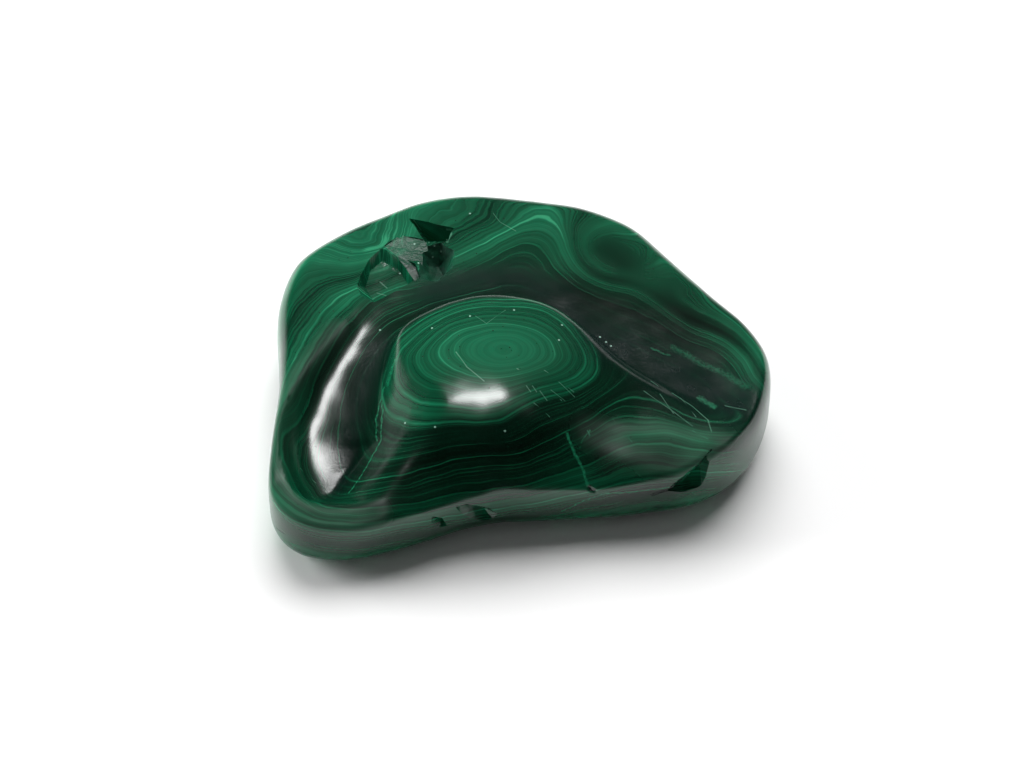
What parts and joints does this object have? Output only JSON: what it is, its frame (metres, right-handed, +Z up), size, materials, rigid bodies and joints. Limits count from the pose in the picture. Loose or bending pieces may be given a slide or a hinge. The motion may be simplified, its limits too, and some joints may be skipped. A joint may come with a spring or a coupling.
{
  "type": "polished malachite freeform stone",
  "caption": "Polished green banded malachite freeform: a flat-based stone with a rounded hill, a curved groove and a hollow ground round it, chipped in places.",
  "frame": {"origin": "centre of the footprint's bounding box, on the plane of the flat base", "axes": "+X along the stone's longest side, to the right of the picture; +Y to the back; +Z up"},
  "size_m": [0.0892, 0.0798, 0.0233],
  "materials": {
    "malachite": "polished, banded in dark and bright green"
  },
  "bodies": {
    "root": {"malachite_freeform": "malachite"}
  },
  "joints": []
}
